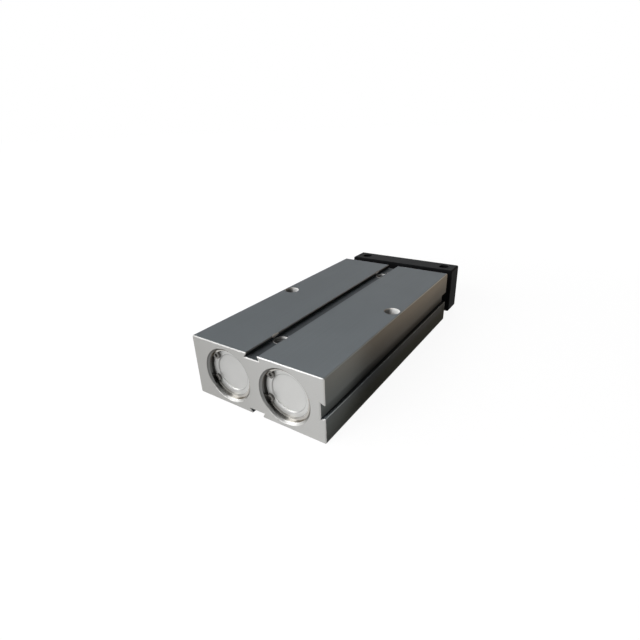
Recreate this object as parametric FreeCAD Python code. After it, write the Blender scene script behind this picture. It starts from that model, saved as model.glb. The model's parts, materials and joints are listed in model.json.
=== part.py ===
import FreeCAD, Part
import math
import os
from FreeCAD import Vector

# Twin rod pneumatic cylinder, in millimetres.
# X runs across the body, +Y is the way the rods come out, +Z is up.
# The origin is midway between the two mounting holes, on the underside.
# Depths along the bores are counted from the rear end face.

# Driving dimensions: motion and bores
stroke = 70.0
bore_diameter = 25.0
rod_diameter = 12.0
end_clearance = 0.2
running_clearance = 0.04
fit_clearance = 0.02

# Driving dimensions: extruded body
web_thickness = 7.2
side_wall = 7.9
roof_wall = 3.0
body_corner_radius = 0.8
end_edge_chamfer = 0.4
bore_mouth_chamfer = 0.95

# Driving dimensions: sensor slots in the top, the right side and the underside
slot_opening = 6.2
slot_floor_width = 8.0
slot_depth = 2.2
slot_lip_land = 0.5
slot_lip_chamfer = 0.2

# Driving dimensions: mounting holes and air ports
mount_hole_diameter = 4.3
mount_counterbore_diameter = 7.5
mount_counterbore_depth = 4.6
hole_edge_chamfer = 0.2
rear_port_setback = 20.0
front_port_setback = 17.0
port_thread_diameter = 7.0
port_rim_chamfer = 0.35
port_depth = 7.4
port_tip_half_angle = 59.0
air_passage_diameter = 4.0

# Driving dimensions: retaining rings
ring_seat_depth = 2.0
ring_thickness = 1.2
ring_groove_depth = 0.6
ring_groove_play = 0.05
ring_wide_side = 2.0
ring_narrow_side = 1.4
ring_gap_angle = 173.0
ring_gap_half_angle = 27.0
ring_lug_half_angle = 35.0
ring_lug_inset = 1.6
ring_lug_radius = 1.8
ring_lug_hole_diameter = 1.7

# Driving dimensions: end covers and their seals
rear_cover_length = 10.0
cover_edge_chamfer = 0.5
cover_rim_width = 3.7
cover_recess_depth = 0.5
o_ring_section = 1.6
o_ring_groove_width = 2.2
bumper_radius = 6.9
bumper_seat_depth = 1.2
rear_bumper_proud = 2.0
bumper_edge = 0.5
bumper_vent_radius = 2.0
rod_cover_flange_length = 10.0
rod_cover_nose_length = 17.2
rod_cover_nose_wall = 2.5
front_bumper_length = 2.5
bush_wall = 1.5
bush_length = 17.0
bush_inset = 0.4
rod_land_clearance = 0.3
rod_seal_wall = 3.1
rod_seal_length = 5.0
rod_seal_recess = 0.6
seal_lip = 0.5
rod_seal_lip_thickness = 1.0
rod_seal_notch_taper = 0.3
rod_seal_notch_depth = 1.5
rod_seal_waist_inset = 2.0

# Driving dimensions: pistons
piston_length = 14.0
piston_end_land = 1.2
piston_edge_chamfer = 0.4
piston_seal_width = 3.2
piston_seal_depth = 2.85
piston_magnet_width = 3.2
piston_magnet_depth = 3.4
piston_magnet_inset = 0.6
wear_ring_width = 3.0
wear_ring_depth = 1.4
wear_ring_split = 0.8
rod_tail_diameter = 8.0
rod_tail_setback = 0.3
piston_nut_flats = 13.0
piston_nut_height = 6.5

# Driving dimensions: end plate and the screws that hold the rods
plate_gap = 10.3
plate_thickness = 13.5
plate_side_inset = 0.5
plate_top_inset = 1.4
plate_corner_radius = 1.0
plate_edge_chamfer = 0.5
rod_seat_depth = 3.0
rod_end_chamfer = 0.6
screw_diameter = 6.0
screw_clearance = 0.2
screw_length = 20.0
screw_head_diameter = 10.0
screw_head_height = 6.0
screw_head_edge = 0.5
screw_socket_flats = 5.0
screw_socket_depth = 3.0
counterbore_clearance = 0.3
counterbore_extra_depth = 0.5
rod_thread_spare = 0.7
side_hole_diameter = 6.3
side_hole_inset = 7.7
face_hole_diameter = 4.2
face_hole_depth = 10.0
face_hole_spacing_x = 44.0
face_hole_spacing_z = 18.0

# Driving dimensions: stroke adjuster in the middle of the end plate
adjuster_diameter = 8.0
adjuster_head_diameter = 14.0
adjuster_head_length = 3.5
adjuster_head_flats = 12.0
adjuster_head_clearance = 0.3
adjuster_end_recess = 0.4
adjuster_socket_flats = 4.0
adjuster_socket_depth = 4.0
adjuster_bumper_diameter = 12.0
adjuster_bumper_length = 2.5
adjuster_bumper_stem_diameter = 6.0
adjuster_bumper_stem_length = 2.0
lock_nut_flats = 13.0
lock_nut_height = 4.0
nut_chamfer_angle = 30.0
lock_nut_pocket_diameter = 19.0
lock_nut_pocket_depth = 8.0

# Sizes that follow from the driving dimensions
bore_radius = bore_diameter / 2
rod_radius = rod_diameter / 2
bore_pitch = bore_diameter + web_thickness
body_width = bore_pitch + bore_diameter + 2 * side_wall
body_height = bore_diameter + 2 * roof_wall
axis_height = body_height / 2
cover_radius = bore_radius - running_clearance
groove_radius = bore_radius + ring_groove_depth

# Depths of the faces along each bore, from the rear end face
cover_face = ring_seat_depth + ring_thickness
rear_cover_end = cover_face + rear_cover_length
rear_bumper_end = rear_cover_end + rear_bumper_proud
piston_nut_start = rear_bumper_end + end_clearance
piston_start = piston_nut_start + piston_nut_height
piston_end = piston_start + piston_length
front_bumper_start = piston_end + stroke + end_clearance
nose_start = front_bumper_start + front_bumper_length
flange_start = nose_start + rod_cover_nose_length
flange_end = flange_start + rod_cover_flange_length
body_length = flange_end + ring_thickness + ring_seat_depth
plate_start = body_length + plate_gap
plate_end = plate_start + plate_thickness
rod_end = plate_start + rod_seat_depth
screw_seat = plate_end - screw_head_height - counterbore_extra_depth
nut_seat = plate_end - lock_nut_pocket_depth
adjuster_head_end = plate_start - adjuster_head_clearance
adjuster_head_start = adjuster_head_end - adjuster_head_length
adjuster_end = plate_end - adjuster_end_recess

# Other places
sides = {"left": -1, "right": 1}
overshoot = 1.0
same_plane = 1e-4
hexagon_sides = 6
mount_hole_x = (bore_pitch / 2 + bore_radius + body_width / 2 - slot_depth) / 2
slot_floor_height = body_height - slot_depth
along_y = Vector(0, 1, 0)
up = Vector(0, 0, 1)


def y_at(depth):
    """Y of a depth counted from the rear end face."""
    return depth - body_length / 2


def bore_x(side):
    """X of the bore on one side, with side -1 or 1."""
    return side * bore_pitch / 2


def rod_cylinder(x, radius, start, end):
    """Round bar along Y between two depths, at the height of the bores."""
    base = Vector(x, y_at(start), axis_height)
    return Part.makeCylinder(radius, end - start, base, along_y)


def turned(x, profile):
    """Turned solid from (radius, depth) points, about a bore's axis."""
    points = [Vector(x, y_at(depth), axis_height + radius) for radius, depth in profile]
    face = Part.Face(Part.makePolygon(points + points[:1]))
    return face.revolve(Vector(x, 0, axis_height), along_y, 360)


def hexagon_bar(x, flats, start, end):
    """Six-sided bar along Y, with one pair of flats upright."""
    corner = flats / math.sqrt(3)
    turn = 2 * math.pi / hexagon_sides
    angles = [turn * (k + 0.5) for k in range(hexagon_sides)]
    points = [
        Vector(x + corner * math.cos(a), y_at(start), axis_height + corner * math.sin(a))
        for a in angles
    ]
    face = Part.Face(Part.makePolygon(points + points[:1]))
    return face.extrude(along_y * (end - start))


def hexagon_nut(x, flats, hole_radius, start, end):
    """Nut with both ends chamfered to a circle, as turned from bar."""
    corner = flats / math.sqrt(3)
    rim = flats / 2 - hole_edge_chamfer
    drop = (corner - rim) * math.tan(math.radians(nut_chamfer_angle))
    envelope = turned(x, [
        (0, start), (rim, start), (corner, start + drop),
        (corner, end - drop), (rim, end), (0, end),
    ])
    nut = hexagon_bar(x, flats, start, end).common(envelope)
    return nut.cut(rod_cylinder(x, hole_radius, start - overshoot, end + overshoot))


def end_edges(shape, depths):
    """Edges of a shape that lie wholly in the end planes at the given depths."""
    found = []
    for edge in shape.Edges:
        box = edge.BoundBox
        for depth in depths:
            y = y_at(depth)
            if abs(box.YMin - y) < same_plane and abs(box.YMax - y) < same_plane:
                found.append(edge)
    return found


def rounded_block(width, bottom, top, start, end, radius):
    """Block along Y whose four long edges are rounded."""
    corner = Vector(-width / 2, y_at(start), bottom)
    block = Part.makeBox(width, end - start, top - bottom, corner)
    long_edges = [e for e in block.Edges if e.BoundBox.YLength > (end - start) / 2]
    return block.makeFillet(radius, long_edges)


def slot_outline(depth, growth):
    """Closed outline of a dovetail slot that opens along +Z, at one depth, widened by a growth."""
    lip = slot_opening / 2 + growth
    floor = slot_floor_width / 2 + growth
    rim = lip + slot_lip_chamfer
    right_half = [
        (rim, overshoot), (rim, 0), (lip, -slot_lip_chamfer),
        (lip, -slot_lip_land), (floor, -slot_depth - growth),
    ]
    left_half = [(-x, z) for x, z in reversed(right_half)]
    points = [Vector(x, y_at(depth), z) for x, z in right_half + left_half]
    return Part.makePolygon(points + points[:1])


def sensor_slot(turn, place):
    """Slot cutter over the body's length, flared at both ends, turned about Y and then moved."""
    c = end_edge_chamfer
    flare = c + overshoot
    straight = Part.Face(slot_outline(0, 0)).extrude(along_y * body_length)
    rear = Part.makeLoft([slot_outline(-overshoot, flare), slot_outline(c, 0)], True, True)
    front_depths = (body_length - c, body_length + overshoot)
    front = [slot_outline(front_depths[0], 0), slot_outline(front_depths[1], flare)]
    cutter = straight.fuse([rear, Part.makeLoft(front, True, True)])
    cutter.rotate(Vector(0, 0, 0), along_y, turn)
    cutter.translate(place)
    return cutter


def bore_cutter(x):
    """Through bore with a chamfered mouth and a retaining ring groove at each end."""
    flare = bore_mouth_chamfer + overshoot
    groove_near = ring_seat_depth - ring_groove_play
    groove_far = cover_face + ring_groove_play
    rear = [
        (0, -overshoot), (bore_radius + flare, -overshoot),
        (bore_radius, bore_mouth_chamfer), (bore_radius, groove_near),
        (groove_radius, groove_near), (groove_radius, groove_far), (bore_radius, groove_far),
    ]
    front = [(radius, body_length - depth) for radius, depth in reversed(rear)]
    return turned(x, rear + front)


def port_cutter(depth):
    """Tapped air port in the top slot, with a drop to a cross hole that opens into both bores."""
    y = y_at(depth)
    thread_radius = port_thread_diameter / 2
    passage_radius = air_passage_diameter / 2
    cross_height = axis_height + passage_radius
    port_floor = slot_floor_height - port_depth
    tip = (thread_radius - passage_radius) / math.tan(math.radians(port_tip_half_angle))
    drop_top = port_floor - tip
    flare = port_rim_chamfer + overshoot
    rim = Part.makeCone(
        thread_radius, thread_radius + flare, flare, Vector(0, y, body_height - port_rim_chamfer), up)
    thread = Part.makeCylinder(thread_radius, body_height - port_floor, Vector(0, y, port_floor), up)
    cone = Part.makeCone(passage_radius, thread_radius, tip, Vector(0, y, drop_top), up)
    drop = Part.makeCylinder(
        passage_radius, drop_top - cross_height, Vector(0, y, cross_height), up)
    cross = Part.makeCylinder(
        passage_radius, bore_pitch, Vector(-bore_pitch / 2, y, cross_height), Vector(1, 0, 0))
    return thread.fuse([rim, cone, drop, cross])


def mount_hole_cutter(x):
    """Mounting hole through the body, counterbored from the top."""
    radius = mount_hole_diameter / 2
    wide = mount_counterbore_diameter / 2
    seat = body_height - mount_counterbore_depth
    c = hole_edge_chamfer
    profile = [
        (0, -overshoot), (radius + c + overshoot, -overshoot), (radius, c), (radius, seat),
        (wide, seat), (wide, body_height - c), (wide + c + overshoot, body_height + overshoot),
        (0, body_height + overshoot),
    ]
    points = [Vector(x + r, 0, z) for r, z in profile]
    face = Part.Face(Part.makePolygon(points + points[:1]))
    return face.revolve(Vector(x, 0, 0), up, 360)


def cylinder_body():
    """Extruded body with two bores, three sensor slots, two ports and two mounting holes."""
    body = rounded_block(body_width, 0, body_height, 0, body_length, body_corner_radius)
    half = body_width / 2
    slots = [
        sensor_slot(0, Vector(0, 0, body_height)),
        sensor_slot(90, Vector(half, 0, axis_height)),
        sensor_slot(180, Vector(0, 0, 0)),
    ]
    body = body.makeChamfer(end_edge_chamfer, end_edges(body, [0, body_length])).cut(slots)
    cutters = [bore_cutter(bore_x(side)) for side in sides.values()]
    cutters += [port_cutter(depth) for depth in (rear_port_setback, body_length - front_port_setback)]
    cutters += [mount_hole_cutter(side * mount_hole_x) for side in sides.values()]
    return body.cut(cutters)


def retaining_ring(x, start):
    """Internal retaining ring that narrows towards its two lugs."""
    end = start + ring_thickness
    outer = groove_radius - ring_groove_play
    inner = outer - (ring_wide_side + ring_narrow_side) / 2
    shift = (ring_wide_side - ring_narrow_side) / 2

    def polar(radius, angle, depth):
        a = math.radians(angle)
        return Vector(x + radius * math.cos(a), y_at(depth), axis_height + radius * math.sin(a))

    disc = rod_cylinder(x, outer, start, end)
    hole_place = polar(shift, ring_gap_angle, start - overshoot)
    hole = Part.makeCylinder(inner, ring_thickness + 2 * overshoot, hole_place, along_y)
    wedge_points = [
        polar(0, 0, start - overshoot),
        polar(2 * outer, ring_gap_angle - ring_gap_half_angle, start - overshoot),
        polar(2 * outer, ring_gap_angle + ring_gap_half_angle, start - overshoot),
    ]
    wedge = Part.Face(Part.makePolygon(wedge_points + wedge_points[:1]))
    ring = disc.cut([hole, wedge.extrude(along_y * (ring_thickness + 2 * overshoot))])
    lug_place = bore_radius - ring_lug_inset
    lugs = []
    holes = []
    for turn in (-ring_lug_half_angle, ring_lug_half_angle):
        angle = ring_gap_angle + turn
        centre = polar(lug_place, angle, start)
        eye = Part.makeCylinder(ring_lug_radius, ring_thickness, centre, along_y)
        arm = Part.makeBox(outer - lug_place, ring_thickness, 2 * ring_lug_radius,
                           Vector(0, 0, -ring_lug_radius))
        arm.rotate(Vector(0, 0, 0), along_y, -angle)
        arm.translate(centre)
        lugs += [eye, arm]
        drill_place = polar(lug_place, angle, start - overshoot)
        holes.append(Part.makeCylinder(
            ring_lug_hole_diameter / 2, ring_thickness + 2 * overshoot, drill_place, along_y))
    lugs = lugs[0].fuse(lugs[1:]).common(disc)
    return ring.fuse(lugs).cut(holes).removeSplitter()


def o_ring_groove(middle):
    """The (radius, depth) points of a cover's seal groove, from its rear to its front edge."""
    floor = cover_radius - o_ring_section
    near = middle - o_ring_groove_width / 2
    far = middle + o_ring_groove_width / 2
    return [(cover_radius, near), (floor, near), (floor, far), (cover_radius, far)]


def cover_o_ring(x, middle):
    """Round seal ring, in its cover's groove."""
    section = o_ring_section / 2 - fit_clearance
    place = Vector(x, y_at(middle), axis_height)
    return Part.makeTorus(cover_radius - o_ring_section / 2, section, place, along_y)


def rear_cover(x):
    """Blind cover that shuts the rear of a bore, with a shallow round recess outside."""
    c = cover_edge_chamfer
    recess = bore_radius - cover_rim_width
    seat = rear_cover_end - bumper_seat_depth
    groove = o_ring_groove((cover_face + rear_cover_end) / 2)
    return turned(x, [
        (0, cover_face + cover_recess_depth), (recess, cover_face + cover_recess_depth),
        (recess, cover_face), (cover_radius - c, cover_face), (cover_radius, cover_face + c),
        *groove,
        (cover_radius, rear_cover_end - c), (cover_radius - c, rear_cover_end),
        (bumper_radius + fit_clearance, rear_cover_end), (bumper_radius + fit_clearance, seat),
        (0, seat),
    ])


def rear_bumper(x):
    """Rubber stop in the rear cover, which the piston nut meets."""
    seat = rear_cover_end - bumper_seat_depth
    c = bumper_edge
    return turned(x, [
        (bumper_vent_radius, seat), (bumper_radius, seat),
        (bumper_radius, rear_bumper_end - c), (bumper_radius - c, rear_bumper_end),
        (bumper_vent_radius + c, rear_bumper_end), (bumper_vent_radius, rear_bumper_end - c),
    ])


def rod_cover(x):
    """Front cover: a sealed flange, and a long nose that holds the rod's bush."""
    c = cover_edge_chamfer
    bush_radius = rod_radius + bush_wall
    nose = bush_radius + rod_cover_nose_wall
    bush_stop = nose_start + bush_inset + bush_length
    land = rod_radius + rod_land_clearance
    seal_radius = rod_radius + rod_seal_wall
    seal_floor = flange_end - rod_seal_length - rod_seal_recess
    return turned(x, [
        (bush_radius, nose_start), (nose - c, nose_start), (nose, nose_start + c),
        (nose, flange_start), (cover_radius - c, flange_start), (cover_radius, flange_start + c),
        *o_ring_groove((flange_start + flange_end) / 2),
        (cover_radius, flange_end - c), (cover_radius - c, flange_end),
        (seal_radius, flange_end), (seal_radius, seal_floor), (land, seal_floor),
        (land, bush_stop), (bush_radius, bush_stop),
    ])


def front_bumper(x):
    """Rubber ring on the nose of the rod cover, which the piston meets at full stroke."""
    c = bumper_edge
    inner = rod_radius + 2 * rod_land_clearance
    outer = rod_radius + bush_wall + rod_cover_nose_wall - cover_edge_chamfer
    return turned(x, [
        (inner, nose_start), (outer, nose_start), (outer, front_bumper_start + c),
        (outer - c, front_bumper_start), (inner + c, front_bumper_start),
        (inner, front_bumper_start + c),
    ])


def rod_bush(x):
    """Plain bearing that guides the rod."""
    start = nose_start + bush_inset
    end = start + bush_length - fit_clearance
    inner = rod_radius + running_clearance
    outer = rod_radius + bush_wall - fit_clearance
    return turned(x, [
        (inner + bush_inset, start), (outer - bush_inset, start), (outer, start + bush_inset),
        (outer, end), (inner, end), (inner, start + bush_inset),
    ])


def rod_seal(x):
    """Rod seal: a lip towards the air, a slack waist, and a wiper lip towards the plate."""
    start = flange_end - rod_seal_length - rod_seal_recess
    end = start + rod_seal_length
    inner = rod_radius + running_clearance
    outer = rod_radius + rod_seal_wall - fit_clearance
    lip = rod_seal_lip_thickness
    root = lip + rod_seal_notch_taper
    notch = start + rod_seal_notch_depth
    return turned(x, [
        (inner, start + seal_lip), (inner + seal_lip, start), (inner + lip, start),
        (inner + root, notch), (outer - root, notch),
        (outer - lip, start), (outer, start + seal_lip), (outer, end),
        (inner + lip, end), (inner + lip, end - seal_lip), (inner, end - seal_lip),
        (inner + seal_lip, end - rod_seal_waist_inset),
        (inner + seal_lip, start + rod_seal_waist_inset),
    ])


def piston_grooves():
    """Depth spans of the piston's seal, magnet and wear ring grooves, from the rear."""
    widths = [piston_seal_width, piston_magnet_width, wear_ring_width]
    land = (piston_length - 2 * piston_end_land - sum(widths)) / 2
    spans = []
    start = piston_start + piston_end_land
    for width in widths:
        spans.append((start, start + width))
        start += width + land
    return spans


def piston(x):
    """Piston with three grooves, clamped on the rod's tail by its nut."""
    c = piston_edge_chamfer
    hole = rod_tail_diameter / 2 + fit_clearance
    profile = [(hole, piston_start), (cover_radius - c, piston_start)]
    profile.append((cover_radius, piston_start + c))
    depths = [piston_seal_depth, piston_magnet_depth, wear_ring_depth]
    for (near, far), depth in zip(piston_grooves(), depths):
        floor = cover_radius - depth
        profile += [(cover_radius, near), (floor, near), (floor, far), (cover_radius, far)]
    profile += [(cover_radius, piston_end - c), (cover_radius - c, piston_end), (hole, piston_end)]
    return turned(x, profile)


def piston_seal(x):
    """Two-way piston seal with a lip at each edge and a slack middle."""
    near, far = piston_grooves()[0]
    near += fit_clearance
    far -= fit_clearance
    inner = cover_radius - piston_seal_depth + fit_clearance
    lip = seal_lip
    return turned(x, [
        (inner, near + lip), (inner + lip, near), (cover_radius - lip, near),
        (cover_radius, near + lip), (cover_radius - lip, near + 2 * lip),
        (cover_radius - lip, far - 2 * lip), (cover_radius, far - lip),
        (cover_radius - lip, far), (inner + lip, far), (inner, far - lip),
    ])


def piston_magnet(x):
    """Bonded magnet ring that the sensors in the slots detect."""
    near, far = piston_grooves()[1]
    inner = cover_radius - piston_magnet_depth + fit_clearance
    outer = cover_radius - piston_magnet_inset
    return turned(x, [
        (inner, near + fit_clearance), (outer, near + fit_clearance),
        (outer, far - fit_clearance), (inner, far - fit_clearance),
    ])


def piston_wear_ring(x):
    """Plastic guide band, split so that it can be sprung into its groove."""
    near, far = piston_grooves()[2]
    inner = cover_radius - wear_ring_depth + fit_clearance
    band = turned(x, [
        (inner, near + fit_clearance), (cover_radius, near + fit_clearance),
        (cover_radius, far - fit_clearance), (inner, far - fit_clearance),
    ])
    split = Part.makeBox(wear_ring_split, wear_ring_width, bore_radius,
                         Vector(x - wear_ring_split / 2, y_at(near), axis_height))
    return band.cut(split)


def piston_rod(x):
    """Ground rod with a threaded tail for the piston and a tapped end for the plate's screw."""
    tail = rod_tail_diameter / 2
    tail_start = piston_nut_start + rod_tail_setback
    c = rod_end_chamfer
    thread = screw_diameter / 2 + fit_clearance
    thread_start = screw_seat - screw_length - rod_thread_spare
    return turned(x, [
        (0, tail_start), (tail - c, tail_start), (tail, tail_start + c), (tail, piston_end),
        (rod_radius, piston_end), (rod_radius, rod_end - c), (rod_radius - c, rod_end),
        (thread, rod_end), (thread, thread_start), (0, thread_start),
    ])


def rod_screw(x):
    """Socket head screw that draws a rod into the end plate."""
    head = screw_head_diameter / 2
    shank = screw_diameter / 2
    top = screw_seat + screw_head_height
    tip = screw_seat - screw_length
    c = screw_head_edge
    blank = turned(x, [
        (0, tip), (shank - c, tip), (shank, tip + c), (shank, screw_seat), (head, screw_seat),
        (head, top - c), (head - c, top), (0, top),
    ])
    return blank.cut(hexagon_bar(x, screw_socket_flats, top - screw_socket_depth, top + overshoot))


def end_plate():
    """Plate that joins both rods and carries the load."""
    width = body_width - 2 * plate_side_inset
    bottom = plate_top_inset
    top = body_height - plate_top_inset
    plate = rounded_block(width, bottom, top, plate_start, plate_end, plate_corner_radius)
    plate = plate.makeChamfer(plate_edge_chamfer, end_edges(plate, [plate_start, plate_end]))
    before = plate_start - overshoot
    after = plate_end + overshoot
    cutters = []
    for side in sides.values():
        x = bore_x(side)
        seat = rod_radius + fit_clearance
        clear_hole = screw_diameter / 2 + screw_clearance
        pocket = screw_head_diameter / 2 + counterbore_clearance
        cutters.append(rod_cylinder(x, seat, before, rod_end))
        cutters.append(rod_cylinder(x, clear_hole, before, after))
        cutters.append(rod_cylinder(x, pocket, screw_seat, after))
        hole_x = side * (width / 2 - side_hole_inset)
        place = Vector(hole_x, y_at((plate_start + plate_end) / 2), bottom - overshoot)
        cutters.append(Part.makeCylinder(
            side_hole_diameter / 2, top - bottom + 2 * overshoot, place, up))
        for level in (-1, 1):
            z = axis_height + level * face_hole_spacing_z / 2
            place = Vector(side * face_hole_spacing_x / 2, y_at(plate_end - face_hole_depth), z)
            cutters.append(Part.makeCylinder(
                face_hole_diameter / 2, face_hole_depth + overshoot, place, along_y))
    cutters.append(rod_cylinder(0, adjuster_diameter / 2 + fit_clearance, before, after))
    cutters.append(rod_cylinder(0, lock_nut_pocket_diameter / 2, nut_seat, after))
    return plate.cut(cutters)


def adjusting_bolt():
    """Stroke adjuster: a bolt with a flatted head towards the body and a socket in its end."""
    head = adjuster_head_diameter / 2
    shank = adjuster_diameter / 2
    stem = adjuster_bumper_stem_diameter / 2 + fit_clearance
    stem_end = adjuster_head_start + adjuster_bumper_stem_length
    c = hole_edge_chamfer
    bolt = turned(0, [
        (stem, adjuster_head_start), (head - c, adjuster_head_start),
        (head, adjuster_head_start + c), (head, adjuster_head_end - c),
        (head - c, adjuster_head_end), (shank, adjuster_head_end), (shank, adjuster_end - c),
        (shank - c, adjuster_end), (0, adjuster_end), (0, stem_end), (stem, stem_end),
    ])
    socket_start = adjuster_end - adjuster_socket_depth
    cutters = [hexagon_bar(0, adjuster_socket_flats, socket_start, adjuster_end + overshoot)]
    for level in (-1, 1):
        bottom = axis_height + level * (adjuster_head_flats / 2 + head / 2) - head / 2
        cutters.append(Part.makeBox(
            4 * head, adjuster_head_length, head,
            Vector(-2 * head, y_at(adjuster_head_start), bottom)))
    return bolt.cut(cutters)


def adjuster_bumper():
    """Urethane pad pressed into the adjuster's head, which meets the body."""
    pad = adjuster_bumper_diameter / 2
    stem = adjuster_bumper_stem_diameter / 2
    start = adjuster_head_start - adjuster_bumper_length
    stem_end = adjuster_head_start + adjuster_bumper_stem_length
    c = bumper_edge
    return turned(0, [
        (0, start), (pad - c, start), (pad, start + c), (pad, adjuster_head_start),
        (stem, adjuster_head_start), (stem, stem_end), (0, stem_end),
    ])


def sub_parts():
    """Every piece of the assembly, by name."""
    pieces = {"cylinder_body": cylinder_body(), "end_plate": end_plate()}
    tail_hole = rod_tail_diameter / 2 + fit_clearance
    for name, side in sides.items():
        x = bore_x(side)
        rear_groove = (cover_face + rear_cover_end) / 2
        front_groove = (flange_start + flange_end) / 2
        pieces[f"rear_cover_{name}"] = rear_cover(x)
        pieces[f"rear_cover_o_ring_{name}"] = cover_o_ring(x, rear_groove)
        pieces[f"rear_retaining_ring_{name}"] = retaining_ring(x, ring_seat_depth)
        pieces[f"rear_bumper_{name}"] = rear_bumper(x)
        pieces[f"rod_cover_{name}"] = rod_cover(x)
        pieces[f"rod_cover_o_ring_{name}"] = cover_o_ring(x, front_groove)
        pieces[f"front_retaining_ring_{name}"] = retaining_ring(x, flange_end)
        pieces[f"front_bumper_{name}"] = front_bumper(x)
        pieces[f"rod_bush_{name}"] = rod_bush(x)
        pieces[f"rod_seal_{name}"] = rod_seal(x)
        pieces[f"piston_{name}"] = piston(x)
        pieces[f"piston_seal_{name}"] = piston_seal(x)
        pieces[f"piston_magnet_{name}"] = piston_magnet(x)
        pieces[f"piston_wear_ring_{name}"] = piston_wear_ring(x)
        pieces[f"piston_nut_{name}"] = hexagon_nut(
            x, piston_nut_flats, tail_hole, piston_nut_start, piston_start)
        pieces[f"piston_rod_{name}"] = piston_rod(x)
        pieces[f"rod_screw_{name}"] = rod_screw(x)
    nut_hole = adjuster_diameter / 2 + fit_clearance
    pieces["adjuster_lock_nut"] = hexagon_nut(
        0, lock_nut_flats, nut_hole, nut_seat, nut_seat + lock_nut_height)
    pieces["adjusting_bolt"] = adjusting_bolt()
    pieces["adjuster_bumper"] = adjuster_bumper()
    return pieces


os.makedirs("parts", exist_ok=True)
for part_name, shape in sub_parts().items():
    solids = len(shape.Solids)
    print(part_name, "solids", solids, "valid", shape.isValid(), "volume", round(shape.Volume, 2))
    shape.exportStep(f"parts/{part_name}.step")
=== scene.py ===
# %% [markdown]
# # A twin rod air cylinder
# This lesson dresses a finished mechanical model: an aluminium block with two bores, the covers that
# close them, two rods and a black end plate. The model is loaded as a fixed frame, in metres. The
# lesson never moves its nodes. It gives each surface its finish and adds the small turned and
# threaded details that solids leave plain.

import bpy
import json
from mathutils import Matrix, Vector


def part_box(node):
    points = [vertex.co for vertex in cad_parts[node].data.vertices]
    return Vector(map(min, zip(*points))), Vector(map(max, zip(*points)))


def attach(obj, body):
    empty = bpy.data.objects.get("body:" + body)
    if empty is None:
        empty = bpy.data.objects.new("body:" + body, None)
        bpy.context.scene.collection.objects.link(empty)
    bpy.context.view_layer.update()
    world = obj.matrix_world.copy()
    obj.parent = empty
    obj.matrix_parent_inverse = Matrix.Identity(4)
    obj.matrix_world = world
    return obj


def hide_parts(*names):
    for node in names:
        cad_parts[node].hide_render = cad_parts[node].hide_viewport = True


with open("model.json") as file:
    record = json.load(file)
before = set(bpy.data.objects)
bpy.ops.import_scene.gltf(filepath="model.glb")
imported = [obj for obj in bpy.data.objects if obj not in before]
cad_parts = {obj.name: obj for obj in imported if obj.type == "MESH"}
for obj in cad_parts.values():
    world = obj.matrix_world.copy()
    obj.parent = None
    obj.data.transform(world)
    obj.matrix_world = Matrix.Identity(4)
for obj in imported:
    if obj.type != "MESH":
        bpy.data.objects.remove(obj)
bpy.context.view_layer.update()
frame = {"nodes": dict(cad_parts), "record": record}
nodes = frame["nodes"]

# %% [markdown]
# ## Places taken from the frame
# Materials and new pieces need to know where the bores, holes and faces are. Most places are read from
# the boxes of the nodes and from the mounts in the record, so nothing has to be fitted by eye. The rest
# are sizes of the solid model. One millimetre is `MM`.

# %% Sizes and places
import json
import math

import bpy
import numpy as np
from mathutils import Matrix, Vector

MM = 0.001


def span(node, axis):
    """Lowest and highest value of a node along one axis, 0, 1 or 2."""
    low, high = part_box(node)
    return low[axis], high[axis]


def middle(node, axis):
    """Middle of a node along one axis."""
    low, high = span(node, axis)
    return (low + high) / 2


body_half_width = span("cylinder_body", 0)[1]
body_half_length = span("cylinder_body", 1)[1]
body_height = span("cylinder_body", 2)[1]
axis_height = middle("piston_rod_right", 2)
bore_x = middle("piston_rod_right", 0)
cover_face = span("rear_cover_right", 1)[0]
plate_front = span("end_plate", 1)[1]

mount = {m["name"]: m for m in frame["record"]["mounts"]}
hole_x = mount["body_mounting_holes"]["dims"]["spacing_x_mm"] / 2 * MM
hole_radius = mount["body_mounting_holes"]["dims"]["hole_r_mm"] * MM
port_y = [mount[name]["pos_m"][1] for name in ("rear_air_port", "front_air_port")]
port_radius = mount["front_air_port"]["dims"]["r_mm"] * MM

bore_radius = 12.5 * MM
bore_mouth_radius = 13.45 * MM
recess_radius = 8.8 * MM
counterbore_radius = 3.75 * MM
counterbore_seat = body_height - 4.6 * MM
hole_rim = 0.2 * MM
port_rim = 0.35 * MM
slot_depth = 2.2 * MM
slot_floor = body_height - slot_depth
slot_half_width = 3.1 * MM
end_chamfer = 0.4 * MM
lug_angles = [math.radians(138), math.radians(208)]
lug_place = 10.9 * MM
lug_radius = 1.8 * MM
print("bores at x", round(bore_x, 4), "ports at y", port_y)

# %% [markdown]
# ## Writing shader maths as Python
# A node tree is a drawing of a formula. To keep the formula readable, `Socket` wraps one output socket
# and overloads the operators, so `1 - mask` adds a Math node by itself. `Finish` owns one material and
# adds every other kind of node through its one method `node`.

# %% Shader helpers


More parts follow.
